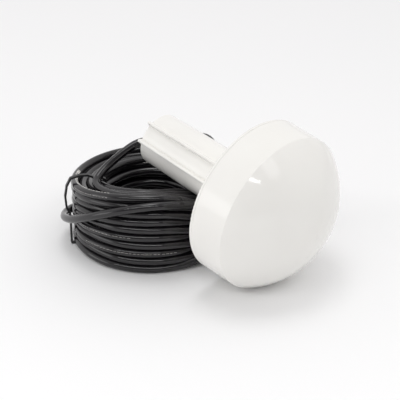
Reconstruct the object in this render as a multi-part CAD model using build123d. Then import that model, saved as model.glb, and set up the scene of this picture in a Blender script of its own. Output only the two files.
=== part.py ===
from build123d import *

import math
import os

# GNSS antenna of the mushroom type: a glossy plastic head on a ribbed stem, lying beside its coiled lead.
# The stem rests on the coil and the head leans forward onto its front edge.
# Row frame: the floor is z = 0, and +X is the way the dome faces, seen from above.

# ---- driving dimensions, millimetres ----
# head and stem
HEAD_RADIUS = 48.0          # skirt at its back edge
HEAD_FRONT_RADIUS = 47.6    # skirt at the dome, smaller by the moulding draft
SKIRT_HEIGHT = 23.7         # back edge of the head to the edge of the dome
DOME_HEIGHT = 27.4          # edge of the dome to its top
SHELL_WALL = 2.5
RIM_HEIGHT = 1.8            # edge of the base plate that shows below the skirt
RIM_ROUND = 0.6             # at the base plate's back edge
SEAM_BEVEL = 0.25           # each side of the line where skirt and base plate meet
PLATE_THICKNESS = 3.0
STEM_LENGTH = 75.5
STEM_MOUTH_RADIUS = 15.9
STEM_ROOT_RADIUS = 17.1
RIB_HEIGHT = 3.2
RIB_WIDTH = 1.8
RIB_ANGLES = (34.6, 74.1, 214.6, 254.1)  # about the stem, from its upper side towards -Y
MOUTH_CHAMFER = 0.8
RIM_CHAMFER = 0.5

# pole thread, a G 3/4 inch parallel thread
THREAD_MAJOR_RADIUS = 13.22
THREAD_MINOR_RADIUS = 12.06
THREAD_PITCH = 1.814
THREAD_TURNS = 11
THREAD_START = 1.2
BORE_RADIUS = 12.4

# how the antenna lies
TILT = 7.63                 # the dome points this far below level, degrees

# cable seal in the stem
SEAL_WEB = 6.0              # thickness of plastic that the gland passes through
GLAND_RADIUS = 5.0
GLAND_FLANGE_RADIUS = 7.2
GLAND_FLANGE_HEIGHT = 1.5
GLAND_NOSE_RADIUS = 3.8
GLAND_NOSE_LENGTH = 10.5

# inside the head
BOARD_RADIUS = 33.0
BOARD_THICKNESS = 1.6
BOARD_RISE = 13.5           # underside of the board above the base plate
POST_RADIUS = 3.2
POST_CIRCLE = 28.0
BOSS_RADIUS = 3.2
BOSS_CIRCLE = 38.0
GROUND_PLATE_RADIUS = 31.0
GROUND_PLATE_THICKNESS = 0.8
PAD_SIDE = 34.0
PAD_THICKNESS = 0.5
PATCH_SIDE = 36.0
PATCH_HEIGHT = 6.0
ELECTRODE_SIDE = 30.0
ELECTRODE_THICKNESS = 0.3
FEED_OFFSET = 4.5
FEED_RADIUS = 0.5
SHIELD_LENGTH = 30.0
SHIELD_WIDTH = 23.0
SHIELD_HEIGHT = 4.6
SHIELD_WALL = 0.5
SHIELD_CENTRE = -15.5
LID_LIP = 1.6

# fasteners
HOUSING_SCREW_RADIUS = 1.5
HOUSING_SCREW_LENGTH = 12.0
HOUSING_HEAD_RADIUS = 2.9
HOUSING_HEAD_HEIGHT = 1.7
BOARD_SCREW_RADIUS = 1.25
BOARD_SCREW_LENGTH = 7.0
BOARD_HEAD_RADIUS = 2.4
BOARD_HEAD_HEIGHT = 1.5

# rim seal
SPIGOT_HEIGHT = 4.6
SPIGOT_WALL = 3.0
SEAL_RADIUS = 0.95
SEAL_GROOVE_DEPTH = 1.7

# cable, RG 58 size
CABLE_RADIUS = 2.5
COAX_CORE_RADIUS = 1.5

# coil of cable
COIL_CENTRE = (-58.2, -12.7)
COIL_INNER_RADIUS = 27.5
COIL_OUTER_RADIUS = 47.6
COIL_HIGH_SIDE = -44.7      # direction in which the stack of turns is highest, degrees from +X
COIL_HIGH = 53.5
COIL_MIDDLE = 41.0
COIL_LOW = 41.0

# cable tie
TIE_ANGLE = -122.0          # where it goes round the coil, degrees from +X
TIE_WIDTH = 2.0
TIE_THICKNESS = 1.2
TIE_SLACK = 0.2             # further inward than the coil needs

# plug, a TNC cable plug
PLUG_HEADING = 86.0         # degrees from +X
NUT_RADIUS = 7.25
NUT_BACK = 19.0
NUT_LENGTH = 18.0
NUT_FLUTES = 24
FLUTE_DEPTH = 0.35
BODY_RADIUS = 5.5
BODY_BACK = 17.0
BODY_LENGTH = 7.4
SLEEVE_RADIUS = 4.1
SLEEVE_BORE = 3.5
SLEEVE_LENGTH = 11.0
NECK_RADIUS = 2.6
NECK_LENGTH = 9.0
FERRULE_RADIUS = 3.5
FERRULE_LENGTH = 12.0
BOOT_RADIUS = 4.4
BOOT_BACK_RADIUS = 3.4
BOOT_LENGTH = 16.0
BOOT_SOLID = 4.0
RING_RADIUS = 6.2
RING_BORE = 5.0
RING_HEIGHT = 0.8
RING_BACK = 21.1
PIN_RADIUS = 0.7
GASKET_HEIGHT = 1.4
PLUG_THREAD_RADIUS = 5.3

# clearances
SLIP = 0.1                  # between pieces of one body that slide together in assembly
RUNNING = 0.06              # nut on plug body
HOLE_CLEARANCE = 0.3        # screw in its hole
SPIGOT_CLEARANCE = 0.3      # spigot in skirt
STEM_CLEARANCE = 0.5        # stem over coil
TIE_CLEARANCE = 0.3         # tie round coil

# ---- heights along the antenna's own axis, from the stem's mouth ----
PLATE_BACK = STEM_LENGTH
PLATE_FRONT = PLATE_BACK + PLATE_THICKNESS
SKIRT_BACK = PLATE_BACK + RIM_HEIGHT
SKIRT_FRONT = PLATE_BACK + SKIRT_HEIGHT
DOME_TOP = SKIRT_FRONT + DOME_HEIGHT
DOME_RADIUS = (HEAD_FRONT_RADIUS**2 + DOME_HEIGHT**2) / (2 * DOME_HEIGHT)
DOME_CENTRE = DOME_TOP - DOME_RADIUS
BORE_BOTTOM = PLATE_FRONT - SEAL_WEB
BOARD_BACK = PLATE_FRONT + BOARD_RISE
BOARD_FRONT = BOARD_BACK + BOARD_THICKNESS
GLAND_NOSE = BORE_BOTTOM - GLAND_NOSE_LENGTH
SEAL_HEIGHT = PLATE_FRONT + 1.6


STANDING = (Align.CENTER, Align.CENTER, Align.MIN)


def post(radius, low, high):
    return Pos(0, 0, low) * Cylinder(radius, high - low, align=STANDING)


def tube(outer, inner, low, high):
    return post(outer, low, high) - post(inner, low - 1, high + 1)


def cone(low_radius, high_radius, low, high):
    return Pos(0, 0, low) * Cone(low_radius, high_radius, high - low, align=STANDING)


def slab(x_side, y_side, low, high):
    return Pos(0, 0, low) * Box(x_side, y_side, high - low, align=STANDING)


def around(shape, radius, count, start=0.0):
    """Copies of a shape on a circle about the axis."""
    return [Rot(0, 0, start + 360 / count * i) * Pos(radius, 0, 0) * shape for i in range(count)]


def turned(*points):
    """A solid of revolution from (radius, height) points of its outline."""
    return revolve(make_face(Polyline(*[(r, 0, z) for r, z in points], close=True)), Axis.Z)


def save(name, shape):
    export_step(shape, f"parts/{name}.step")


# ---- head and stem, drawn about their own axis with the stem's mouth at height 0 ----
def skirt_radius(height):
    drop = (HEAD_RADIUS - HEAD_FRONT_RADIUS) / (SKIRT_FRONT - PLATE_BACK)
    return HEAD_RADIUS - drop * (height - PLATE_BACK)


def dome_height(radius, inset=0.0):
    return DOME_CENTRE + math.sqrt((DOME_RADIUS - inset) ** 2 - radius**2)


SKIRT_BORE = HEAD_FRONT_RADIUS - SHELL_WALL
SPIGOT_RADIUS = SKIRT_BORE - SPIGOT_CLEARANCE


def radome():
    outline = [
        Line((SKIRT_BORE, 0, SKIRT_BACK), (skirt_radius(SKIRT_BACK), 0, SKIRT_BACK)),
        Line((skirt_radius(SKIRT_BACK), 0, SKIRT_BACK), (HEAD_FRONT_RADIUS, 0, SKIRT_FRONT)),
        ThreePointArc(
            (HEAD_FRONT_RADIUS, 0, SKIRT_FRONT),
            (HEAD_FRONT_RADIUS / 2, 0, dome_height(HEAD_FRONT_RADIUS / 2)),
            (0, 0, DOME_TOP),
        ),
        Line((0, 0, DOME_TOP), (0, 0, DOME_TOP - SHELL_WALL)),
        ThreePointArc(
            (0, 0, DOME_TOP - SHELL_WALL),
            (SKIRT_BORE / 2, 0, dome_height(SKIRT_BORE / 2, SHELL_WALL)),
            (SKIRT_BORE, 0, dome_height(SKIRT_BORE, SHELL_WALL)),
        ),
        Line((SKIRT_BORE, 0, dome_height(SKIRT_BORE, SHELL_WALL)), (SKIRT_BORE, 0, SKIRT_BACK)),
    ]
    shell = revolve(make_face(outline), Axis.Z)
    edge = shell.edges().filter_by(GeomType.CIRCLE).filter_by(
        lambda e: abs(e.radius - HEAD_FRONT_RADIUS) < 0.01 and abs(e.center().Z - SKIRT_FRONT) < 0.01
    )
    shell = fillet(edge, 0.8)
    rim = shell.edges().filter_by(GeomType.CIRCLE).group_by(Axis.Z)[0].sort_by(lambda e: e.radius)[-1]
    shell = chamfer(rim, SEAM_BEVEL)
    inside = Pos(0, 0, DOME_CENTRE) * Sphere(DOME_RADIUS - SHELL_WALL / 2)
    bosses = [boss & inside for boss in around(post(BOSS_RADIUS, PLATE_FRONT, DOME_TOP), BOSS_CIRCLE, 4, 45)]
    pilot = post(HOUSING_SCREW_RADIUS, PLATE_FRONT - 1, PLATE_BACK + HOUSING_SCREW_LENGTH + 1)
    return shell + bosses - around(pilot, BOSS_CIRCLE, 4, 45)


def thread_bore():
    """The space inside a parallel thread, as equal vee ridges."""
    points = [(0, THREAD_START), (THREAD_MINOR_RADIUS, THREAD_START)]
    for i in range(THREAD_TURNS):
        foot = THREAD_START + i * THREAD_PITCH
        points.append((THREAD_MAJOR_RADIUS, foot + THREAD_PITCH / 2))
        points.append((THREAD_MINOR_RADIUS, foot + THREAD_PITCH))
    end = THREAD_START + THREAD_TURNS * THREAD_PITCH
    points.append((0, end))
    return turned(*points)


def base_housing():
    rim = post(HEAD_RADIUS, PLATE_BACK, SKIRT_BACK)
    rim = fillet(rim.edges().group_by(Axis.Z)[0], RIM_ROUND)
    rim = chamfer(rim.edges().group_by(Axis.Z)[-1], SEAM_BEVEL)
    plate = rim + post(SPIGOT_RADIUS, PLATE_BACK, PLATE_FRONT)
    plate += tube(SPIGOT_RADIUS, SPIGOT_RADIUS - SPIGOT_WALL, PLATE_FRONT, PLATE_FRONT + SPIGOT_HEIGHT)
    stem = cone(STEM_MOUTH_RADIUS, STEM_ROOT_RADIUS, 0, PLATE_BACK)
    stem = chamfer(stem.edges().group_by(Axis.Z)[0], RIM_CHAMFER)
    draft = math.degrees(math.atan((STEM_ROOT_RADIUS - STEM_MOUTH_RADIUS) / STEM_LENGTH))
    crest = STEM_MOUTH_RADIUS + RIB_HEIGHT
    rib = Box(crest, RIB_WIDTH, STEM_LENGTH + 1, align=(Align.MIN, Align.CENTER, Align.MIN))
    rib = fillet(rib.edges().filter_by(Axis.Z).group_by(Axis.X)[-1], RIB_WIDTH * 0.42)
    rib = Pos(crest, 0, 0) * Rot(0, draft, 0) * Pos(-crest, 0, 0) * rib
    rib &= slab(3 * crest, 3 * crest, 0, PLATE_BACK)
    body = plate + stem
    for angle in RIB_ANGLES:
        body += Rot(0, 0, angle) * rib
    body -= thread_bore()
    body -= cone(THREAD_MAJOR_RADIUS + MOUTH_CHAMFER, THREAD_MINOR_RADIUS, -0.001, THREAD_START)
    body -= post(BORE_RADIUS, THREAD_START + THREAD_TURNS * THREAD_PITCH, BORE_BOTTOM)
    body -= post(GLAND_RADIUS, BORE_BOTTOM - 1, PLATE_FRONT + 1)
    groove_back = SEAL_HEIGHT - SEAL_RADIUS - SLIP
    groove_front = SEAL_HEIGHT + SEAL_RADIUS + SLIP
    body -= tube(SPIGOT_RADIUS + 1, SPIGOT_RADIUS - SEAL_GROOVE_DEPTH, groove_back, groove_front)
    boss_room = post(BOSS_RADIUS + SPIGOT_CLEARANCE, PLATE_FRONT, PLATE_FRONT + SPIGOT_HEIGHT + 1)
    body -= around(boss_room, BOSS_CIRCLE, 4, 45)
    hole = post(HOUSING_SCREW_RADIUS + HOLE_CLEARANCE, PLATE_BACK - 1, PLATE_FRONT + 1)
    hole += post(HOUSING_HEAD_RADIUS + HOLE_CLEARANCE, PLATE_BACK - 1, PLATE_BACK + HOUSING_HEAD_HEIGHT)
    body -= around(hole, BOSS_CIRCLE, 4, 45)
    body += around(post(POST_RADIUS, PLATE_FRONT, BOARD_BACK), POST_CIRCLE, 4, 45)
    pilot = post(BOARD_SCREW_RADIUS, BOARD_FRONT - BOARD_SCREW_LENGTH - 1, BOARD_BACK + 1)
    return body - around(pilot, POST_CIRCLE, 4, 45)


def rim_seal():
    return Pos(0, 0, SEAL_HEIGHT) * Torus(SKIRT_BORE - SEAL_RADIUS - SLIP / 2, SEAL_RADIUS)


def housing_screws():
    head = post(HOUSING_HEAD_RADIUS, PLATE_BACK, PLATE_BACK + HOUSING_HEAD_HEIGHT)
    shank = post(HOUSING_SCREW_RADIUS, PLATE_BACK, PLATE_BACK + HOUSING_SCREW_LENGTH)
    recess = slab(3.2, 0.9, PLATE_BACK - 1, PLATE_BACK + 1) + slab(0.9, 3.2, PLATE_BACK - 1, PLATE_BACK + 1)
    return around(head + shank - recess, BOSS_CIRCLE, 4, 45)


# ---- board and what it carries ----
def antenna_board():
    board = post(BOARD_RADIUS, BOARD_BACK, BOARD_FRONT)
    hole = post(BOARD_SCREW_RADIUS + HOLE_CLEARANCE, BOARD_BACK - 1, BOARD_FRONT + 1)
    board -= around(hole, POST_CIRCLE, 4, 45)
    return board - feed_hole(BOARD_BACK, BOARD_FRONT)


PLATE_TOP = BOARD_FRONT + GROUND_PLATE_THICKNESS
PATCH_BACK = PLATE_TOP + PAD_THICKNESS
PATCH_FRONT = PATCH_BACK + PATCH_HEIGHT


def feed_hole(low, high):
    return Pos(0, FEED_OFFSET, 0) * post(FEED_RADIUS + SLIP, low - 1, high + 1)


def ground_plate():
    plate = post(GROUND_PLATE_RADIUS, BOARD_FRONT, PLATE_TOP)
    hole = post(BOARD_HEAD_RADIUS + HOLE_CLEARANCE, BOARD_FRONT - 1, PLATE_TOP + 1)
    plate -= around(hole, POST_CIRCLE, 4, 45)
    return plate - feed_hole(BOARD_FRONT, PLATE_TOP)


def adhesive_pad():
    return slab(PAD_SIDE, PAD_SIDE, PLATE_TOP, PATCH_BACK) - feed_hole(PLATE_TOP, PATCH_BACK)


def patch_ceramic():
    block = slab(PATCH_SIDE, PATCH_SIDE, PATCH_BACK, PATCH_FRONT)
    block = chamfer(block.edges().filter_by(Axis.Z), 1.0)
    return block - feed_hole(PATCH_BACK, PATCH_FRONT)


def patch_electrode():
    film = slab(ELECTRODE_SIDE, ELECTRODE_SIDE, PATCH_FRONT, PATCH_FRONT + ELECTRODE_THICKNESS)
    corners = film.edges().filter_by(Axis.Z)
    trimmed = [corners.sort_by(lambda e: e.center().X + e.center().Y)[i] for i in (0, -1)]
    return chamfer(trimmed, 2.5) - feed_hole(PATCH_FRONT, PATCH_FRONT + ELECTRODE_THICKNESS)


def feed_pin():
    top = PATCH_FRONT + ELECTRODE_THICKNESS
    pin = post(FEED_RADIUS, BOARD_BACK - 1.0, top) + cone(1.6, 0.9, top, top + 0.6)
    return Pos(0, FEED_OFFSET, 0) * pin


def shield_frame():
    low = BOARD_BACK - SHIELD_HEIGHT
    outer = slab(SHIELD_WIDTH, SHIELD_LENGTH, low, BOARD_BACK)
    inner = slab(SHIELD_WIDTH - 2 * SHIELD_WALL, SHIELD_LENGTH - 2 * SHIELD_WALL, low - 1, BOARD_BACK + 1)
    return Pos(SHIELD_CENTRE, 0, 0) * (outer - inner)


def shield_lid():
    low = BOARD_BACK - SHIELD_HEIGHT - SHIELD_WALL
    width = SHIELD_WIDTH + 2 * (SHIELD_WALL + SLIP)
    length = SHIELD_LENGTH + 2 * (SHIELD_WALL + SLIP)
    lid = slab(width, length, low, low + SHIELD_WALL + LID_LIP)
    room = slab(width - 2 * SHIELD_WALL, length - 2 * SHIELD_WALL, low + SHIELD_WALL, BOARD_BACK)
    return Pos(SHIELD_CENTRE, 0, 0) * (lid - room)


def chips(places, x_side, y_side, height):
    chip = slab(x_side, y_side, BOARD_BACK - height, BOARD_BACK)
    return [Pos(x, y, 0) * chip for x, y in places]


SAW_PLACES = [(SHIELD_CENTRE - 4, y) for y in (-6.5, 5.5)]
AMPLIFIER_PLACES = [(SHIELD_CENTRE + 3, y) for y in (-9.5, -0.5, 9.0)]
PART_PLACES = [(SHIELD_CENTRE + x, y) for x in (-8.5, 7.5) for y in (-11, -7, -3, 1, 5, 9)]


def board_screws():
    head = post(BOARD_HEAD_RADIUS, BOARD_FRONT, BOARD_FRONT + BOARD_HEAD_HEIGHT)
    shank = post(BOARD_SCREW_RADIUS, BOARD_FRONT - BOARD_SCREW_LENGTH, BOARD_FRONT)
    top = BOARD_FRONT + BOARD_HEAD_HEIGHT
    recess = slab(2.6, 0.8, top - 0.8, top + 1) + slab(0.8, 2.6, top - 0.8, top + 1)
    return around(head + shank - recess, POST_CIRCLE, 4, 45)


# ---- cable seal and the cable's end inside the head ----
def cable_gland():
    body = post(GLAND_RADIUS, BORE_BOTTOM, PLATE_FRONT)
    flange = post(GLAND_FLANGE_RADIUS, PLATE_FRONT, PLATE_FRONT + GLAND_FLANGE_HEIGHT)
    nose = cone(GLAND_NOSE_RADIUS, GLAND_RADIUS, GLAND_NOSE, BORE_BOTTOM)
    return body + flange + nose - post(CABLE_RADIUS, GLAND_NOSE - 1, PLATE_FRONT + GLAND_FLANGE_HEIGHT + 1)


JACKET_END = PLATE_FRONT + GLAND_FLANGE_HEIGHT + 2.0
CLIP_START = 14.0
CLIP_LENGTH = 6.0
CORE_LEVEL = BOARD_BACK - COAX_CORE_RADIUS - 0.4


def cable_end():
    return post(CABLE_RADIUS, GLAND_NOSE, JACKET_END)


def inner_coax():
    path = FilletPolyline(
        (0, 0, JACKET_END),
        (0, 0, CORE_LEVEL),
        (CLIP_START + CLIP_LENGTH, 0, CORE_LEVEL),
        radius=5.0,
    )
    section = Plane((0, 0, JACKET_END)) * Circle(COAX_CORE_RADIUS)
    return sweep(section, path=path)


def cable_clip():
    """A saddle soldered to the board that holds the coax's braid."""
    width = 2 * COAX_CORE_RADIUS + 4
    low = CORE_LEVEL - COAX_CORE_RADIUS - 0.8
    block = slab(CLIP_LENGTH, width, low, BOARD_BACK)
    bore = Rot(0, 90, 0) * Cylinder(COAX_CORE_RADIUS + SLIP, CLIP_LENGTH + 2)
    slot = slab(CLIP_LENGTH + 2, 2 * (COAX_CORE_RADIUS + SLIP), CORE_LEVEL, BOARD_BACK + 1)
    return Pos(CLIP_START + CLIP_LENGTH / 2, 0, 0) * (block - Pos(0, 0, CORE_LEVEL) * bore - slot)


# ---- the antenna laid down: its front edge on the floor, centred on the row's origin ----
lean = math.radians(TILT)
laid = Plane(
    origin=(0, 0, 0),
    x_dir=(math.sin(lean), 0, math.cos(lean)),
    z_dir=(math.cos(lean), 0, -math.sin(lean)),
)
head_shell = radome()
housing = base_housing()
box = (laid.location * Compound([head_shell, housing])).bounding_box()
antenna_place = Pos(-box.center().X, 0, -box.min.Z) * laid.location


def in_row(x, y, z):
    """A point of the antenna's own frame, in the row frame."""
    spot = (antenna_place * Pos(x, y, z)).position
    return (spot.X, spot.Y, spot.Z)


antenna = {
    "radome": head_shell,
    "base_housing": housing,
    "rim_seal": rim_seal(),
    "housing_screws": housing_screws(),
    "antenna_board": antenna_board(),
    "ground_plate": ground_plate(),
    "adhesive_pad": adhesive_pad(),
    "patch_ceramic": patch_ceramic(),
    "patch_electrode": patch_electrode(),
    "feed_pin": feed_pin(),
    "shield_frame": shield_frame(),
    "shield_lid": shield_lid(),
    "saw_filters": chips(SAW_PLACES, 3.8, 3.8, 1.5),
    "amplifier_chips": chips(AMPLIFIER_PLACES, 3.0, 3.0, 1.0),
    "chip_parts": chips(PART_PLACES, 1.6, 0.8, 0.7),
    "board_screws": board_screws(),
    "cable_gland": cable_gland(),
    "cable_end": cable_end(),
    "inner_coax": inner_coax(),
    "cable_clip": cable_clip(),
}
for name, shape in antenna.items():
    solids = shape if isinstance(shape, list) else [shape]
    moved = [antenna_place * s for s in solids]
    save(name, Compound(moved) if len(moved) > 1 else moved[0])


# ---- cable ----
def at_coil(radius, angle, height):
    """A point given about the coil's centre: radius, degrees from +X, height above the floor."""
    turn = math.radians(angle)
    return (
        COIL_CENTRE[0] + radius * math.cos(turn),
        COIL_CENTRE[1] + radius * math.sin(turn),
        height,
    )


def cable_tube(name, route):
    """The cable along a route, with the largest arc that each corner has room for."""
    points = [Vector(*p) for p in route]
    runs = [(b - a).length for a, b in zip(points, points[1:])]
    radii = []
    for i in range(1, len(points) - 1):
        half_turn = math.radians((points[i] - points[i - 1]).get_angle(points[i + 1] - points[i])) / 2
        radii.append(0.45 * min(runs[i - 1], runs[i]) / math.tan(half_turn))
    path = FilletPolyline(*points, radius=radii)
    section = Plane(origin=points[0], z_dir=points[1] - points[0]) * Circle(CABLE_RADIUS)
    solid = sweep(section, path=path)
    expected = math.pi * CABLE_RADIUS**2 * path.length
    print(name, "runs", [round(r, 1) for r in runs], "radii", [round(r, 1) for r in radii],
          "length", round(path.length, 1), "volume over expected", round(solid.volume / expected, 4))
    return solid


lead_lift = 1.4 * (CABLE_RADIUS - 2.5)  # a thicker lead rides this much higher over the tie
LEAD_ROUTE = [
    in_row(0, 0, GLAND_NOSE),
    in_row(0, 0, 48.5),
    in_row(-1.0, 0.6, 33),
    in_row(-0.8, -0.3, 19),
    in_row(-0.6, -0.2, 6.2),
    in_row(-0.3, 9.4, -5.8),
    (-71.2, -23.6, 54.6 + lead_lift),
    (-73.3, -37.6, 47.0 + lead_lift),
    (-69.6, -47.0, 42.8 + lead_lift),
    (-62.2, -53.6, 40.2 + lead_lift),
]
LOOSE_TURN_ROUTE = [
    at_coil(44.5, -158, 12.5),
    at_coil(50.5, -142, 14.5),
    at_coil(53.0, -125, 17.5),
    at_coil(51.5, -107, 24.0),
    at_coil(51.0, -89, 32.5),
    at_coil(51.0, -71, 40.5),
    at_coil(50.5, -53, 46.0),
    at_coil(50.0, -35, 47.5),
    at_coil(48.0, -17, 44.5),
    at_coil(45.5, 0, 38.0),
    at_coil(43.5, 13, 33.0),
]
RAISED_TURN_ROUTE = [
    at_coil(40.0, 138, 36.5),
    at_coil(41.0, 118, 42.0),
    at_coil(42.0, 98, 51.0),
    at_coil(43.0, 78, 57.5),
    at_coil(43.5, 58, 48.5),
    at_coil(43.0, 40, 37.0),
    at_coil(41.5, 25, 30.5),
]
heading = math.radians(PLUG_HEADING)
plug_back = at_coil(52.4, 16, NUT_RADIUS + 0.05)
TAIL_ROUTE = [
    at_coil(45.0, -28, 2.6),
    at_coil(47.0, -13.5, 3.6),
    (plug_back[0] - 11 * math.cos(heading), plug_back[1] - 11 * math.sin(heading), plug_back[2]),
    plug_back,
]


def cable_tie():
    """A closed band that stands across the bundle of turns, slack over its top."""
    inner = COIL_INNER_RADIUS - TIE_CLEARANCE - TIE_THICKNESS - TIE_SLACK
    outer = COIL_OUTER_RADIUS + TIE_CLEARANCE + TIE_THICKNESS
    outline = [
        (inner, 0), (inner, 42.0), (inner + 2.5, 43.6), (32.0, 43.9), (37.0, 46.4), (42.5, 46.6),
        (47.9, 45.2), (50.5, 40.0), (51.7, 33.0), (51.2, 25.5), (outer, 20.5), (outer, 0),
    ]
    wire = FilletPolyline(*[(x, z) for x, z in outline], radius=1.5, close=True)
    face = make_face(Plane.XZ * wire)
    ring = extrude(face, TIE_WIDTH / 2, both=True)
    inside = extrude(offset(face, -TIE_THICKNESS), TIE_WIDTH, both=True)
    return Pos(COIL_CENTRE[0], COIL_CENTRE[1], 0) * Rot(0, 0, TIE_ANGLE) * (ring - inside)


def cable_coil():
    """The outer shape of the whole coil: a ring, highest on one side, with room for the stem and the tie."""
    middle = (COIL_INNER_RADIUS + COIL_OUTER_RADIUS) / 2
    width = COIL_OUTER_RADIUS - COIL_INNER_RADIUS
    ring = revolve(Plane.XZ * Pos(middle, COIL_HIGH / 2) * RectangleRounded(width, COIL_HIGH, 4.0), Axis.Z)
    reach = COIL_OUTER_RADIUS + 1
    side = make_face([
        Line((-reach, 0, -1), (reach, 0, -1)),
        Line((reach, 0, -1), (reach, 0, COIL_HIGH)),
        ThreePointArc((reach, 0, COIL_HIGH), (0, 0, COIL_MIDDLE), (-reach, 0, COIL_LOW)),
        Line((-reach, 0, COIL_LOW), (-reach, 0, -1)),
    ])
    envelope = Rot(0, 0, COIL_HIGH_SIDE) * extrude(side, reach, both=True)
    ring &= envelope
    ring = Pos(COIL_CENTRE[0], COIL_CENTRE[1], 0) * ring
    stem_room = cone(STEM_MOUTH_RADIUS + STEM_CLEARANCE, STEM_ROOT_RADIUS + STEM_CLEARANCE, -5, PLATE_BACK)
    crest = STEM_ROOT_RADIUS + RIB_HEIGHT + STEM_CLEARANCE
    rib_room_width = RIB_WIDTH + 2 * STEM_CLEARANCE
    rib_room = Box(crest, rib_room_width, STEM_LENGTH, align=(Align.MIN, Align.CENTER, Align.MIN))
    for angle in RIB_ANGLES:
        stem_room += Rot(0, 0, angle) * rib_room
    ring -= antenna_place * stem_room
    slot = slab(width + 14, TIE_WIDTH + 2 * TIE_CLEARANCE, 0, TIE_THICKNESS + TIE_CLEARANCE)
    ring -= Pos(COIL_CENTRE[0], COIL_CENTRE[1], 0) * Rot(0, 0, TIE_ANGLE) * Pos(middle, 0, 0) * slot
    return ring


save("cable_lead", cable_tube("cable_lead", LEAD_ROUTE))
save("cable_loose_turn", cable_tube("cable_loose_turn", LOOSE_TURN_ROUTE))
save("cable_raised_turn", cable_tube("cable_raised_turn", RAISED_TURN_ROUTE))
save("cable_tail", cable_tube("cable_tail", TAIL_ROUTE))
save("cable_coil", cable_coil())
save("cable_tie", cable_tie())


# ---- plug, drawn about its own axis with the cable entering at height 0 ----
def plug_boot():
    sleeve = cone(BOOT_BACK_RADIUS, BOOT_RADIUS, 0, BOOT_SOLID) + post(BOOT_RADIUS, BOOT_SOLID, BOOT_LENGTH)
    return sleeve - post(FERRULE_RADIUS, BOOT_SOLID, BOOT_LENGTH + 1)


def plug_ferrule():
    return tube(FERRULE_RADIUS, NECK_RADIUS, BODY_BACK - FERRULE_LENGTH, BODY_BACK)


def plug_body():
    front = BODY_BACK + BODY_LENGTH
    body = post(BODY_RADIUS, BODY_BACK, front) + post(SLEEVE_RADIUS, front, front + SLEEVE_LENGTH)
    body += post(NECK_RADIUS, BODY_BACK - NECK_LENGTH, BODY_BACK)
    body -= tube(BODY_RADIUS + 1, RING_BORE, RING_BACK - SLIP, RING_BACK + RING_HEIGHT + SLIP)
    body -= post(SLEEVE_BORE, front - 2, front + SLEEVE_LENGTH + 1)
    return body - post(PIN_RADIUS + 0.8, BODY_BACK - NECK_LENGTH - 1, front)


def plug_insulator():
    front = BODY_BACK + BODY_LENGTH
    return tube(SLEEVE_BORE - SLIP / 2, PIN_RADIUS + SLIP / 2, front - 2, front + 7)


def plug_pin():
    tip = BODY_BACK + BODY_LENGTH + SLEEVE_LENGTH
    return post(PIN_RADIUS, BODY_BACK, tip - 2) + cone(PIN_RADIUS, 0.25, tip - 2, tip - 0.6)


def plug_gasket():
    front = BODY_BACK + BODY_LENGTH
    return tube(PLUG_THREAD_RADIUS - 0.25, SLEEVE_RADIUS + SLIP, front, front + GASKET_HEIGHT)


def plug_retaining_ring():
    ring = tube(RING_RADIUS, RING_BORE + SLIP / 2, RING_BACK, RING_BACK + RING_HEIGHT)
    return ring - Pos(RING_RADIUS, 0, RING_BACK) * Box(2 * RING_RADIUS, 1.6, 3)


def plug_coupling_nut():
    front = BODY_BACK + BODY_LENGTH
    nut = post(NUT_RADIUS, NUT_BACK, NUT_BACK + NUT_LENGTH)
    ends = nut.edges().filter_by(GeomType.CIRCLE)
    nut = chamfer(ends, 0.6)
    nut -= post(BODY_RADIUS + RUNNING, NUT_BACK - 1, front + 0.4)
    nut -= post(RING_RADIUS + SLIP, RING_BACK - SLIP, RING_BACK + RING_HEIGHT + SLIP)
    nut -= post(PLUG_THREAD_RADIUS, front, NUT_BACK + NUT_LENGTH + 1)
    flute = Cylinder(FLUTE_DEPTH * 1.6, NUT_LENGTH - 6, align=STANDING)
    flute = Pos(0, 0, NUT_BACK + 4) * flute
    return nut - around(flute, NUT_RADIUS + FLUTE_DEPTH * 0.6, NUT_FLUTES)


plug_plane = Plane(origin=plug_back, x_dir=(0, 0, 1), z_dir=(math.cos(heading), math.sin(heading), 0))
plug = {
    "plug_boot": plug_boot(),
    "plug_ferrule": plug_ferrule(),
    "plug_body": plug_body(),
    "plug_insulator": plug_insulator(),
    "plug_pin": plug_pin(),
    "plug_gasket": plug_gasket(),
    "plug_retaining_ring": plug_retaining_ring(),
    "plug_coupling_nut": plug_coupling_nut(),
}
for name, shape in plug.items():
    save(name, plug_plane.location * shape)

print("mouth", [round(v, 4) for v in in_row(0, 0, 0)])
print("exit", [round(v, 4) for v in in_row(0, 0, GLAND_NOSE)])
print("axis", round(math.cos(lean), 6), 0, round(-math.sin(lean), 6))
print("plug back", [round(v, 4) for v in plug_back])
print("plug heading", round(math.cos(heading), 6), round(math.sin(heading), 6), 0)
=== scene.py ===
import math

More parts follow.
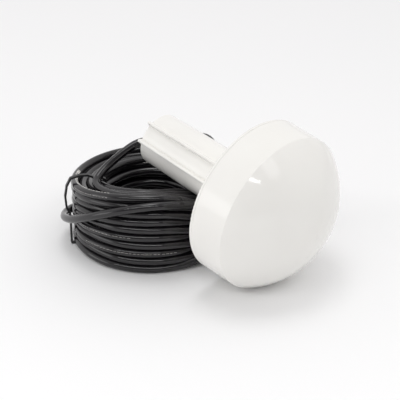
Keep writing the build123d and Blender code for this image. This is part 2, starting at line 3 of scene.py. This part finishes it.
import bpy
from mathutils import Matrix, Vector


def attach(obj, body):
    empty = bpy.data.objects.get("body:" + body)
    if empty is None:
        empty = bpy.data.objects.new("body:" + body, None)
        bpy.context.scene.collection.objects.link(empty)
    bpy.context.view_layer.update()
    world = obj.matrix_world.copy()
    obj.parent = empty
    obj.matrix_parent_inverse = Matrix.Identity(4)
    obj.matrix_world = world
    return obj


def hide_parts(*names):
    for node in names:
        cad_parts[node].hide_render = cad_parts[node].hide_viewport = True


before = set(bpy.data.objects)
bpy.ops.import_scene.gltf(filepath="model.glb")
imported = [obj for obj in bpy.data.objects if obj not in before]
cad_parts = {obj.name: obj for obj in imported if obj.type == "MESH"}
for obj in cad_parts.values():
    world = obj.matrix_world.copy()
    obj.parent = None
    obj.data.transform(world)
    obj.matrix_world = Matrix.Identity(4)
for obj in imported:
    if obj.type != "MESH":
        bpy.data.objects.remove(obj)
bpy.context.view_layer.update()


# ---- Table, light and camera ----
# The antenna lies on a seamless sheet of white paper, as small parts are laid out for a catalogue.
# A large soft lamp hangs over it, a long narrow one draws the thin streaks on the cable from the front,
# and two small ones fill the sides.
def linear(colour):
    """An sRGB hex colour as the linear red, green, blue and alpha that a shader takes."""
    parts = [int(colour[i : i + 2], 16) / 255 for i in (1, 3, 5)]
    return [c / 12.92 if c <= 0.04045 else ((c + 0.055) / 1.055) ** 2.4 for c in parts] + [1.0]


def add(tree, kind, settings=None, **inputs):
    """Adds a node. Each input takes a value or an output socket to link. In an input's name _ stands
    for a space, and in3 is the input numbered 3."""
    node = tree.nodes.new(kind)
    for key, value in (settings or {}).items():
        setattr(node, key, value)
    for key, value in inputs.items():
        numbered = key.startswith("in") and key[2:].isdigit()
        socket = node.inputs[int(key[2:]) if numbered else key.replace("_", " ")]
        if isinstance(value, bpy.types.NodeSocket):
            tree.links.new(value, socket)
        else:
            socket.default_value = value
    return node


def material(name, **shader):
    """An empty material with one shader in it; returns the material, its tree and the shader."""
    made = bpy.data.materials.new(name)
    made.use_nodes = True
    tree = made.node_tree
    tree.nodes.clear()
    surface = add(tree, "ShaderNodeBsdfPrincipled", **shader)
    add(tree, "ShaderNodeOutputMaterial", Surface=surface.outputs["BSDF"])
    return made, tree, surface


paper_white, paper_tree, paper = material("white_paper", Roughness=0.9, Specular_IOR_Level=0.2)
paper_place = add(paper_tree, "ShaderNodeTexCoord")
# the scale of a noise is how many of its grains lie in a metre, so 900 gives a grain of 1.1 mm
paper_grain = add(
    paper_tree, "ShaderNodeTexNoise",
    Vector=paper_place.outputs["Object"], Scale=900.0, Detail=3.0,
)
paper_shade = add(
    paper_tree, "ShaderNodeMix", {"data_type": "RGBA"},
    Factor=paper_grain.outputs["Fac"], in6=linear("#F6F6F7"), in7=linear("#F9F9F9"),
)
paper_tree.links.new(paper_shade.outputs[2], paper.inputs["Base Color"])

PAPER_REACH = 4.0        # metres from the antenna to the paper's edges
sheet = bpy.data.meshes.new("paper")
corners = [(x * PAPER_REACH, y * PAPER_REACH, 0) for x, y in ((-1, -1), (1, -1), (1, 1), (-1, 1))]
sheet.from_pydata(corners, [], [(0, 1, 2, 3)])
floor = bpy.data.objects.new("paper", sheet)
floor.data.materials.append(paper_white)
bpy.context.scene.collection.objects.link(floor)

# the walls are white, and dimmer on the side that the glossy dome and the cable's near side mirror
room = bpy.data.worlds.new("white_room")
bpy.context.scene.world = room
room.use_nodes = True
room.node_tree.nodes.clear()
facing = add(
    room.node_tree, "ShaderNodeVectorMath", {"operation": "DOT_PRODUCT"},
    in0=add(room.node_tree, "ShaderNodeTexCoord").outputs["Generated"], in1=(0.58, -0.60, 0.55),
)
glow = add(
    room.node_tree, "ShaderNodeMapRange", {"interpolation_type": "SMOOTHSTEP"},
    Value=facing.outputs["Value"], From_Min=0.35, From_Max=0.85, To_Min=0.92, To_Max=0.30,
)
walls = add(room.node_tree, "ShaderNodeBackground", Color=linear("#FEFDFD"), Strength=glow.outputs[0])
add(room.node_tree, "ShaderNodeOutputWorld", Surface=walls.outputs["Background"])


def lamp(name, place, aim, width, height, watts):
    """A rectangular soft lamp at a place, turned towards a point on the antenna; all in metres."""
    data = bpy.data.lights.new(name, "AREA")
    data.shape = "RECTANGLE"
    data.size, data.size_y, data.energy = width, height, watts
    holder = bpy.data.objects.new(name, data)
    holder.location = place
    holder.rotation_euler = (Vector(aim) - Vector(place)).to_track_quat("-Z", "Y").to_euler()
    bpy.context.scene.collection.objects.link(holder)


lamp("overhead_lamp", (-0.15, -0.05, 1.9), (-0.02, -0.02, 0.03), 0.85, 0.7, 6.3)
lamp("front_lamp", (0.42, -0.84, 0.98), (-0.03, -0.02, 0.03), 1.5, 0.08, 4.6)
lamp("left_lamp", (-0.48, -0.74, 0.20), (-0.02, -0.02, 0.05), 0.5, 0.3, 0.6)
lamp("right_lamp", (0.72, 0.02, 0.84), (0.03, 0.0, 0.05), 0.30, 0.36, 0.5)

bpy.context.scene.view_settings.view_transform = "Standard"

# a long lens from a little above the antenna, on the side of its dome
eye = bpy.data.cameras.new("camera")
eye.sensor_width = 36.0
eye.lens = 128.1
camera = bpy.data.objects.new("camera", eye)
camera.location = (0.5027, -0.5242, 0.44185)
line_of_sight = Vector((-0.6228, 0.6161, -0.4824))
camera.rotation_euler = line_of_sight.to_track_quat("-Z", "Y").to_euler()
bpy.context.scene.collection.objects.link(camera)
bpy.context.scene.camera = camera


# ---- Base housing: the back plate and the stem ----
# One injection moulding in white ABS: a round plate with a hollow stem, four ribs along the stem
# and a pole thread in its mouth. It is gloss-finished in the tool, then left as it comes.
# White moulded ABS has an even, faintly warm colour and a hard gloss with very slight orange peel.
white_abs, abs_tree, abs_shader = material("white_abs_gloss_moulded", IOR=1.52)
abs_place = add(abs_tree, "ShaderNodeTexCoord").outputs["Object"]
ABS_FLOW = 0.030         # metres across one patch of the moulding's slow flow marks
ABS_PEEL = 0.0018        # metres across a dimple of the orange peel, a little coarser than the real one
flow = add(abs_tree, "ShaderNodeTexNoise", Vector=abs_place, Scale=1 / ABS_FLOW, Detail=2.0)
peel = add(abs_tree, "ShaderNodeTexNoise", Vector=abs_place, Scale=1 / ABS_PEEL, Detail=1.0)
shade = add(
    abs_tree, "ShaderNodeMix", {"data_type": "RGBA"},
    Factor=flow.outputs["Fac"], in6=linear("#EEECE8"), in7=linear("#F3F2EE"),
)
gloss = add(abs_tree, "ShaderNodeMapRange", Value=flow.outputs["Fac"], To_Min=0.07, To_Max=0.12)
skin = add(abs_tree, "ShaderNodeBump", Strength=0.035, Distance=0.0002, Height=peel.outputs["Fac"])
abs_tree.links.new(shade.outputs[2], abs_shader.inputs["Base Color"])
abs_tree.links.new(gloss.outputs[0], abs_shader.inputs["Roughness"])
abs_tree.links.new(skin.outputs["Normal"], abs_shader.inputs["Normal"])


def finish(name, with_material):
    """Gives a piece of the frame its material and keeps its mesh as it is."""
    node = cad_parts[name]
    node.data.materials.clear()
    node.data.materials.append(with_material)
    return node


finish("base_housing", white_abs)


# ---- Rim seal and housing screws ----
# A round nitrile cord ring sits in the spigot's groove and keeps rain out of the head.
# Four stainless pan-head screws pull the plate against it from the back.
# Moulded nitrile is a soft even black, with a faint bloom of wax in patches of 2.5 mm.
def mottled(name, colours, rough, grains, detail, **shader_values):
    """A material that drifts between two colours and two roughnesses, with so many grains in a metre."""
    made, tree, shader = material(name, **shader_values)
    place = add(tree, "ShaderNodeTexCoord").outputs["Object"]
    drift = add(tree, "ShaderNodeTexNoise", Vector=place, Scale=grains, Detail=detail).outputs["Fac"]
    tone = add(
        tree, "ShaderNodeMix", {"data_type": "RGBA"},
        Factor=drift, in6=linear(colours[0]), in7=linear(colours[1]),
    )
    wear = add(tree, "ShaderNodeMapRange", Value=drift, To_Min=rough[0], To_Max=rough[1])
    tree.links.new(tone.outputs[2], shader.inputs["Base Color"])
    tree.links.new(wear.outputs[0], shader.inputs["Roughness"])
    return made


nitrile = mottled(
    "nitrile_rubber_moulded", ("#151516", "#1F1F21"), (0.55, 0.7), 400.0, 3.0,
    IOR=1.52, Specular_IOR_Level=0.35,
)
finish("rim_seal", nitrile)


def metal(name, low, high, rough, grain):
    """A metal whose colour and roughness drift over grain metres, as on a plated or drawn surface."""
    return mottled(name, (low, high), (rough - 0.06, rough + 0.06), 1 / grain, 3.0, Metallic=1.0)


# Cold-headed stainless steel keeps a fine, even grey sheen.
stainless = metal("stainless_steel_cold_headed", "#B9B8B5", "#CDCCC9", 0.3, 0.0006)
finish("housing_screws", stainless)


# ---- Board, patch and shield ----
# A round glass-fibre board stands on four posts. The ceramic patch with its silver electrode is stuck
# to a tinned ground plate on its front; filters and amplifiers sit in a tin-plated can on its back.
# The green solder resist lets the weave of the glass cloth show through.
resist, resist_tree, resist_shader = material("solder_resist_green_on_glass_fibre", Roughness=0.35, IOR=1.5)
resist_place = add(resist_tree, "ShaderNodeTexCoord").outputs["Object"]
WEAVE = 0.0005           # metres between the glass cloth's threads
cloth = add(
    resist_tree, "ShaderNodeTexBrick", {"offset": 0.5}, Vector=resist_place, Scale=1 / WEAVE,
    Color1=linear("#1E5A38"), Color2=linear("#226341"), Mortar=linear("#1A4F31"), Mortar_Size=0.08,
)
resist_tree.links.new(cloth.outputs["Color"], resist_shader.inputs["Base Color"])
finish("antenna_board", resist)

tin = metal("tin_plate_bright", "#C9CCCE", "#DADCDD", 0.28, 0.002)
for piece in ("ground_plate", "shield_frame", "shield_lid"):
    finish(piece, tin)

# Foam tape shows its cells, a third of a millimetre across, at its cut edge.
foam, foam_tree, foam_shader = material("acrylic_foam_tape", Roughness=0.85)
foam_place = add(foam_tree, "ShaderNodeTexCoord").outputs["Object"]
cells = add(foam_tree, "ShaderNodeTexVoronoi", Vector=foam_place, Scale=3000.0)
foam_shade = add(
    foam_tree, "ShaderNodeMix", {"data_type": "RGBA"},
    Factor=cells.outputs["Distance"], in6=linear("#3A3A3B"), in7=linear("#4A4A4C"),
)
foam_tree.links.new(foam_shade.outputs[2], foam_shader.inputs["Base Color"])
finish("adhesive_pad", foam)

# Pressed and fired microwave ceramic is unglazed, light brown and finely grained.
ceramic = mottled(
    "dielectric_ceramic_pressed", ("#C9AE8C", "#D8C09F"), (0.45, 0.6), 2500.0, 4.0, IOR=1.6,
)
for piece in ("patch_ceramic", "chip_parts"):
    finish(piece, ceramic)
finish("patch_electrode", metal("silver_film_fired", "#DCD9D2", "#E9E7E1", 0.35, 0.0008))
gold = metal("gold_plate_on_brass", "#D9B25F", "#E6C274", 0.22, 0.0008)
finish("feed_pin", gold)
for piece in ("saw_filters", "board_screws"):
    finish(piece, stainless)

# Moulded chip epoxy is a matt black full of fine filler.
epoxy = mottled("chip_epoxy_moulded", ("#1B1B1C", "#262628"), (0.5, 0.65), 6000.0, 2.0, IOR=1.55)
finish("amplifier_chips", epoxy)


# ---- Cable seal and the cable's end in the head ----
# A soft rubber gland fills the web at the top of the stem and tapers down the cable as its strain relief.
# Above it the cable is stripped to its braid, which a tinned saddle holds on the board.
finish("cable_gland", nitrile)
finish("cable_clip", tin)

braid, braid_tree, braid_shader = material("tinned_copper_braid", Metallic=1.0, Roughness=0.38)
braid_place = add(braid_tree, "ShaderNodeTexCoord").outputs["Object"]
BRAID_CROSSING = 1 / 2200          # metres from one crossing of the wires to the next
wires = add(
    braid_tree, "ShaderNodeTexChecker", Vector=braid_place, Scale=1 / BRAID_CROSSING,
    Color1=linear("#B8B6B2"), Color2=linear("#8F8D89"),
)
braid_tree.links.new(wires.outputs["Color"], braid_shader.inputs["Base Color"])
finish("inner_coax", braid)


# ---- Radome: the skirt and the dome ----
# The head's cover, one thin-walled injection moulding in the same white ABS, polished in the tool.
# It drops over the plate's spigot, so only a hairline shows where the two mouldings meet.
finish("radome", white_abs)


# ---- Cable ----
# Over nine metres of 5 mm coax, black PVC over a braid, wound by hand into some forty turns in four
# columns. The outer column is wound last: its first turn climbs outside the coil and crosses over the
# top behind the stem. All of it is one length, from the seal in the stem to the plug.
MM = 0.001               # this section's sizes are in millimetres
CABLE = 5.0              # outside diameter
COIL_CENTRE = (-58.2, -12.7)
COIL_TOP = (53.5, 41.0, 39.8)      # top of the coil at its high side, middle and low side
COIL_REACH = 48.6        # how far from the middle the two sides are
HIGH_SIDE = -44.7        # where the stack of turns is highest, degrees from +X
ROWS = 10
COLUMNS = (45.1, 40.1, 35.1, 30.1)   # radius of each column of turns, from outside
STEM_AXIS = (0.991146, 0.0, -0.132775)     # from the stem's mouth to the dome
STEM_MOUTH = (-61.9261, 0.0, 60.331)       # the middle of the mouth
STEM_REACH = 17.7        # the stem's radius and a little room
RIB_REACH = 20.9         # the radius over the stem's ribs and a little room
STEP = 22.5              # degrees between the points of a turn
TIE_ANGLE = -122.0       # where the tie goes round the coil
TIE_HOLD = 24.0          # degrees to each side of the tie over which it keeps the turns in line
NEST = 5.0498            # from the middle of a turn to that of the one it lies against
DEEPEST_NEST = 3.2       # the furthest that a turn sinks back between its neighbours
CROWDED = 5.3            # rows that lie closer than this push the inner columns further in
PUSHED_IN = 0.7          # share of what they lack that the innermost column moves
WAVER = 0.35             # how far a hand-wound turn strays
WAVER_TURN = 2.3         # waves in a turn
WAVER_ROW = 71.0         # degrees by which the wave differs from row to row
CORNER_CUT = 1.0095      # a turn's points lie this much further out, as its line cuts their corners
COLUMN_START = -42.0     # angle at which each column's first row starts
CHANGE_AT = 100.0        # degrees past a column's last row at which the cable moves to the next column
CHANGE_OVER = 110.0      # degrees that the move takes


def in_row(x, y, z):
    """A point given in the antenna's own frame: up from its stem, towards -Y, and out along its axis."""
    return (
        STEM_MOUTH[0] + x * -STEM_AXIS[2] + z * STEM_AXIS[0],
        STEM_MOUTH[1] - y,
        STEM_MOUTH[2] + x * STEM_AXIS[0] + z * STEM_AXIS[2],
    )


def at_coil(radius, angle, height):
    """A point given about the coil: its distance from the middle, degrees from +X, and height."""
    turn = math.radians(angle)
    return (COIL_CENTRE[0] + radius * math.cos(turn), COIL_CENTRE[1] + radius * math.sin(turn), height)


def coil_top(radius, angle):
    """Height of the heap's top: an arc from its low side, nearly level at first, to its high side."""
    along = radius * math.cos(math.radians(angle - HIGH_SIDE)) / COIL_REACH
    high, middle, low = COIL_TOP
    return middle + (high - low) / 2 * along + ((high + low) / 2 - middle) * along * along


def under_stem(x, y):
    """Highest that the middle of a turn may be where the stem lies across the coil."""
    reach = (STEM_REACH if y < 5 else RIB_REACH) + CABLE / 2
    if abs(y) >= reach or x < STEM_MOUTH[0] - 3:
        return 99.0
    axis = STEM_MOUTH[2] + (x - STEM_MOUTH[0]) * STEM_AXIS[2] / STEM_AXIS[0]
    return axis - math.sqrt(reach * reach - y * y)


def turn_point(radius, angle, row):
    """A point of a wound turn; row 0 is the top one. Where the heap is low the turns lie closer than a
    diameter, so every other one sinks back between its neighbours. The tie holds them in line."""
    x, y, _ = at_coil(radius, angle, 0)
    top = min(coil_top(radius, angle) - CABLE / 2, under_stem(x, y))
    pitch = (top - CABLE / 2) / (ROWS - 1)
    around = (angle - TIE_ANGLE + 180) % 360 - 180
    free = 1 - math.exp(-((around / TIE_HOLD) ** 2))
    sink = min(DEEPEST_NEST, math.sqrt(max(0.0, NEST * NEST - pitch * pitch))) * free
    if math.floor(row + 1e-6) % 2 == 0:
        sink = 0.0
    depth = (COLUMNS[0] - radius) / (COLUMNS[0] - COLUMNS[3])
    pushed = max(0.0, CROWDED - pitch) * PUSHED_IN * free * depth
    waver = 0.0
    if 0.5 < row < ROWS - 1.5:
        waver = WAVER * math.sin(math.radians(angle * WAVER_TURN + row * WAVER_ROW))
    height = CABLE / 2 + pitch * (ROWS - 1 - row) + waver / 4
    return at_coil((radius - sink - pushed + waver) * CORNER_CUT, angle, height)


def smooth(value):
    """Rises from 0 to 1 with the value, without a corner at either end."""
    value = min(1.0, max(0.0, value))
    return value * value * (3 - 2 * value)


# from the seal, down the stem, out of its mouth and over the coil's edge
gland_nose = in_row(0, 0, 62)
lead = [
    gland_nose, in_row(0, 0, 48.5), in_row(-1.0, 0.6, 33), in_row(-0.8, -0.3, 19),
    in_row(-0.6, -0.2, 6.2), in_row(-0.3, 9.4, -5.8),
    (-71.2, -23.6, 54.6), (-73.3, -37.6, 47.0), (-69.6, -47.0, 42.8),
]

# it joins the top row there; the three inner columns are wound down, up and down, from outside to inside
turns = []
angle = -72.0
for column, radius in enumerate(COLUMNS[1:]):
    start = COLUMN_START + 360.0 * ROWS * column
    end = start + 360.0 * (ROWS - 1)
    is_last = radius == COLUMNS[-1]
    following = radius if is_last else COLUMNS[column + 2]
    while angle < end + (CHANGE_AT if is_last else 360.0) - 1e-6:
        wound = min(ROWS - 1.0, max(0.0, (angle - start) / 360.0))
        row = wound if column % 2 == 0 else ROWS - 1.0 - wound
        shift = smooth((angle - end - CHANGE_AT) / CHANGE_OVER)
        turns.append(turn_point(radius + shift * (following - radius), angle, row))
        angle += STEP

# out of the bottom of the inner column, through the heap, to the turn that climbs outside it
crossing = [
    at_coil(31.5, 80, 2.5), at_coil(33.5, 105, 3.5), at_coil(37.0, 130, 6.0),
    at_coil(40.5, 155, 8.5), at_coil(42.8, 180, 10.5),
]
climbing = [
    at_coil(44.5, -158, 12.5), at_coil(50.5, -142, 14.5), at_coil(53.0, -125, 17.5),
    at_coil(51.5, -107, 24.0), at_coil(51.0, -89, 32.5), at_coil(51.0, -71, 40.5),
    at_coil(50.5, -53, 46.0), at_coil(50.0, -35, 47.5), at_coil(48.0, -17, 44.5),
    at_coil(45.5, 0, 38.0), at_coil(43.5, 13, 33.0), at_coil(41.5, 25, 30.5),
    at_coil(43.0, 40, 37.0), at_coil(43.5, 58, 48.5), at_coil(43.0, 78, 56.4),
    at_coil(42.0, 98, 49.5), at_coil(41.5, 118, 42.0), at_coil(42.0, 138, 38.6),
    at_coil(43.5, 158, 37.4),
]

# the outer column, wound from the top down; it gives way where the climbing turn leaves the heap
GIVES_WAY = 3.2          # how far, at its most
GIVES_WAY_AT = -152.0    # degrees
GIVES_WAY_OVER = 15.0    # degrees to each side
outside = []
angle = 180.0
outer_start = COLUMN_START + 360.0
while angle < outer_start + 360.0 * (ROWS - 1) - 1e-6:
    row = max(0.0, (angle - outer_start) / 360.0)
    x, y, z = turn_point(COLUMNS[0], angle, row)
    around = (angle + 180) % 360 - 180
    if 5.5 < row < 8.6:
        inward = GIVES_WAY * math.exp(-(((around - GIVES_WAY_AT) / GIVES_WAY_OVER) ** 2))
        x -= inward * math.cos(math.radians(around))
        y -= inward * math.sin(math.radians(around))
    outside.append((x, y, z))
    angle += STEP

# out from under the coil and into the back of the plug, which lies on the paper
PLUG_HEADING = 86.0      # degrees from +X
TAIL_STRAIGHT = 11.0     # length of cable in line with the plug
heading = math.radians(PLUG_HEADING)
plug_back = at_coil(52.4, 16, 7.3)
tail = [
    at_coil(45.0, -28, 2.6), at_coil(47.0, -13.5, 3.6),
    (
        plug_back[0] - TAIL_STRAIGHT * math.cos(heading),
        plug_back[1] - TAIL_STRAIGHT * math.sin(heading),
        plug_back[2],
    ),
    plug_back,
]
route = lead + turns + crossing + climbing + outside + tail

line = bpy.data.curves.new("cable_route", "CURVE")
line.dimensions = "3D"
line.resolution_u = 5
spline = line.splines.new("NURBS")
spline.points.add(len(route) - 1)
for point, place in zip(spline.points, route):
    point.co = [c * MM for c in place] + [1.0]
spline.use_endpoint_u = True
spline.order_u = 3
route_object = bpy.data.objects.new("cable_route", line)
bpy.context.scene.collection.objects.link(route_object)
bpy.context.view_layer.update()
seen_now = bpy.context.evaluated_depsgraph_get()
centreline = bpy.data.meshes.new_from_object(route_object.evaluated_get(seen_now))

# Extruded PVC is a smooth near-black with a bright gloss, slightly streaky along the cable. About once a
# metre it carries two short printed marks, plain bars in a white ink that has partly rubbed off.
LEGEND_EVERY = 0.987     # metres from one pair of marks to the next
LEGEND_STARTS = (0.765, 0.21)      # where in each such length the long one and the short one start
LEGEND_LENGTHS = (0.058, 0.040)
BAR_EVERY = 0.0023       # metres from bar to bar
BAR_INK = (0.45, 0.4)    # the least share of that which is ink, and how much more there may be
PRINT_SIDE = 0.67        # share of the way round the cable at which the print's middle lies
PRINT_HALF_WIDTH = 0.065           # share of the way round
INK_LEFT = 0.32          # below this the noise has rubbed the ink off
STREAKS_ALONG = 22.0     # in a metre
STREAKS_ROUND = 14.0     # round the cable
pvc, pvc_tree, pvc_shader = material("black_pvc_extruded_jacket", IOR=1.53, Specular_IOR_Level=0.55)
run = add(pvc_tree, "ShaderNodeAttribute", {"attribute_name": "run"}).outputs["Fac"]
side = add(pvc_tree, "ShaderNodeAttribute", {"attribute_name": "side"}).outputs["Fac"]
pvc_place = add(pvc_tree, "ShaderNodeTexCoord").outputs["Object"]


def sums(tree, operation, *values):
    """The result of one step of arithmetic in a tree, on values or sockets."""
    terms = {f"in{i}": value for i, value in enumerate(values)}
    return add(tree, "ShaderNodeMath", {"operation": operation}, **terms).outputs[0]


in_legend = 0.0
for start, length in zip(LEGEND_STARTS, LEGEND_LENGTHS):
    since = sums(pvc_tree, "MODULO", sums(pvc_tree, "ADD", run, LEGEND_EVERY - start), LEGEND_EVERY)
    in_legend = sums(pvc_tree, "MAXIMUM", sums(pvc_tree, "LESS_THAN", since, length), in_legend)
bars = sums(pvc_tree, "DIVIDE", run, BAR_EVERY)
bar_number = sums(pvc_tree, "FLOOR", bars)
chance = add(pvc_tree, "ShaderNodeTexWhiteNoise", {"noise_dimensions": "1D"}, W=bar_number).outputs["Value"]
bar_end = sums(pvc_tree, "MULTIPLY_ADD", chance, BAR_INK[1], BAR_INK[0])
in_bar = sums(pvc_tree, "LESS_THAN", sums(pvc_tree, "FRACT", bars), bar_end)
off_side = sums(pvc_tree, "ABSOLUTE", sums(pvc_tree, "SUBTRACT", side, PRINT_SIDE))
printed_side = sums(pvc_tree, "LESS_THAN", off_side, PRINT_HALF_WIDTH)
rubbed = add(pvc_tree, "ShaderNodeTexNoise", Vector=pvc_place, Scale=900.0, Detail=3.0).outputs["Fac"]
ink = sums(pvc_tree, "GREATER_THAN", rubbed, INK_LEFT)
for share in (in_legend, in_bar, printed_side):
    ink = sums(pvc_tree, "MULTIPLY", ink, share)
unrolled = add(
    pvc_tree, "ShaderNodeCombineXYZ",
    X=sums(pvc_tree, "MULTIPLY", run, STREAKS_ALONG), Y=sums(pvc_tree, "MULTIPLY", side, STREAKS_ROUND),
).outputs[0]
streaks = add(
    pvc_tree, "ShaderNodeTexNoise", {"noise_dimensions": "2D"}, Vector=unrolled, Scale=1.0, Detail=3.0,
).outputs["Fac"]
pvc_black = add(
    pvc_tree, "ShaderNodeMix", {"data_type": "RGBA"},
    Factor=streaks, in6=linear("#0F0D10"), in7=linear("#181519"),
)
jacket = add(
    pvc_tree, "ShaderNodeMix", {"data_type": "RGBA"},
    Factor=ink, in6=pvc_black.outputs[2], in7=linear("#D6D3CE"),
)
pvc_rough = add(
    pvc_tree, "ShaderNodeMapRange", Value=streaks, From_Min=0.3, From_Max=0.7, To_Min=0.09, To_Max=0.15,
)
pvc_skin = add(pvc_tree, "ShaderNodeBump", Strength=0.05, Distance=0.0001, Height=streaks)
pvc_tree.links.new(jacket.outputs[2], pvc_shader.inputs["Base Color"])
pvc_tree.links.new(pvc_rough.outputs[0], pvc_shader.inputs["Roughness"])
pvc_tree.links.new(pvc_skin.outputs["Normal"], pvc_shader.inputs["Normal"])

# The jacket is a round section carried along the cable's line, closed at both ends. It keeps how far
# along the cable and how far round it each point is, for the streaks and the print to follow.
extruder = bpy.data.node_groups.new("cable_extruder", "GeometryNodeTree")
extruder.interface.new_socket("Line", in_out="INPUT", socket_type="NodeSocketGeometry")
RING_SPACING = 0.0027    # metres between the rings of the drawn jacket
for name, value in (("Diameter", CABLE * MM), ("Spacing", RING_SPACING)):
    size = extruder.interface.new_socket(name, in_out="INPUT", socket_type="NodeSocketFloat")
    size.default_value = value
extruder.interface.new_socket("Sides", in_out="INPUT", socket_type="NodeSocketInt").default_value = 16
extruder.interface.new_socket("Material", in_out="INPUT", socket_type="NodeSocketMaterial")
extruder.interface.new_socket("Cable", in_out="OUTPUT", socket_type="NodeSocketGeometry")
given = extruder.nodes.new("NodeGroupInput")
spaced = add(
    extruder, "GeometryNodeResampleCurve", {"mode": "LENGTH"},
    Curve=given.outputs["Line"], Length=given.outputs["Spacing"],
)
upright = add(extruder, "GeometryNodeSetCurveNormal", {"mode": "Z_UP"}, Curve=spaced.outputs[0])
along = add(extruder, "GeometryNodeCaptureAttribute", {"domain": "POINT"}, Geometry=upright.outputs[0])
along.capture_items.new("FLOAT", "run")
extruder.links.new(add(extruder, "GeometryNodeSplineParameter").outputs["Length"], along.inputs[1])
ring = add(
    extruder, "GeometryNodeCurvePrimitiveCircle", {"mode": "RADIUS"},
    Resolution=given.outputs["Sides"], Radius=sums(extruder, "MULTIPLY", given.outputs["Diameter"], 0.5),
)
round_it = add(extruder, "GeometryNodeCaptureAttribute", {"domain": "POINT"}, Geometry=ring.outputs[0])
round_it.capture_items.new("FLOAT", "side")
extruder.links.new(add(extruder, "GeometryNodeSplineParameter").outputs["Factor"], round_it.inputs[1])
drawn = add(
    extruder, "GeometryNodeCurveToMesh",
    Curve=along.outputs[0], Profile_Curve=round_it.outputs[0], Fill_Caps=True,
)
stored = drawn.outputs[0]
for name, captured in (("run", along), ("side", round_it)):
    keeper = add(
        extruder, "GeometryNodeStoreNamedAttribute", {"data_type": "FLOAT", "domain": "POINT"},
        Geometry=stored, Name=name,
    )
    extruder.links.new(captured.outputs[1], keeper.inputs["Value"])
    stored = keeper.outputs[0]
even = add(extruder, "GeometryNodeSetShadeSmooth", Geometry=stored)
real = add(extruder, "GeometryNodeRealizeInstances", Geometry=even.outputs[0])
dressed = add(
    extruder, "GeometryNodeSetMaterial", Geometry=real.outputs[0], Material=given.outputs["Material"],
)
add(extruder, "NodeGroupOutput", Cable=dressed.outputs[0])


def made_by(name, start, tree, **sizes):
    """Runs a Geometry Nodes tree on a starting object and returns its result as a plain mesh object."""
    modifier = start.modifiers.new("maker", "NODES")
    modifier.node_group = tree
    for item in tree.interface.items_tree:
        if item.in_out == "INPUT" and item.name in sizes:
            modifier[item.identifier] = sizes[item.name]
    start.update_tag()
    bpy.context.view_layer.update()
    evaluated = start.evaluated_get(bpy.context.evaluated_depsgraph_get())
    result = bpy.data.meshes.new_from_object(evaluated)
    start.modifiers.clear()
    result.name = name
    made = bpy.data.objects.new(name, result)
    bpy.context.scene.collection.objects.link(made)
    bpy.data.objects.remove(start)
    return made


cable = made_by(
    "cable", route_object, extruder, Diameter=CABLE * MM, Spacing=RING_SPACING, Sides=16, Material=pvc,
)
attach(cable, "antenna")
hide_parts("cable_lead", "cable_coil", "cable_loose_turn", "cable_raised_turn", "cable_tail")
finish("cable_end", pvc)


# ---- Cable tie ----
# A narrow black nylon band round the whole coil, slack over its top, that keeps the turns in line.
# Moulded nylon is smooth and slightly waxy, a shade greyer than the cable.
nylon = mottled("black_nylon_moulded", ("#1A191B", "#252426"), (0.34, 0.46), 700.0, 2.0, IOR=1.53)
finish("cable_tie", nylon)


# ---- Plug on the cable's far end ----
# A crimped threaded coax plug: a nickel-plated brass body with a free coupling nut, a white insulator
# round a gold pin, a silicone washer inside the nut, and a short rubber boot over the crimp.
# Nickel plate on turned brass is a warm grey mirror, faintly clouded.
nickel = metal("nickel_plate_on_turned_brass", "#B4B0A8", "#C9C5BD", 0.24, 0.0012)
for piece in ("plug_ferrule", "plug_body", "plug_retaining_ring", "plug_coupling_nut"):
    finish(piece, nickel)
finish("plug_boot", nitrile)
finish("plug_pin", gold)

# Turned PTFE is a waxy white, and the moulded silicone washer a dusty red.
ptfe = mottled("ptfe_turned", ("#E9E8E3", "#F3F2EE"), (0.48, 0.52), 2500.0, 2.0, IOR=1.38)
finish("plug_insulator", ptfe)
silicone = mottled("silicone_rubber_red", ("#A0392C", "#B04838"), (0.55, 0.7), 1200.0, 3.0, IOR=1.43)
finish("plug_gasket", silicone)
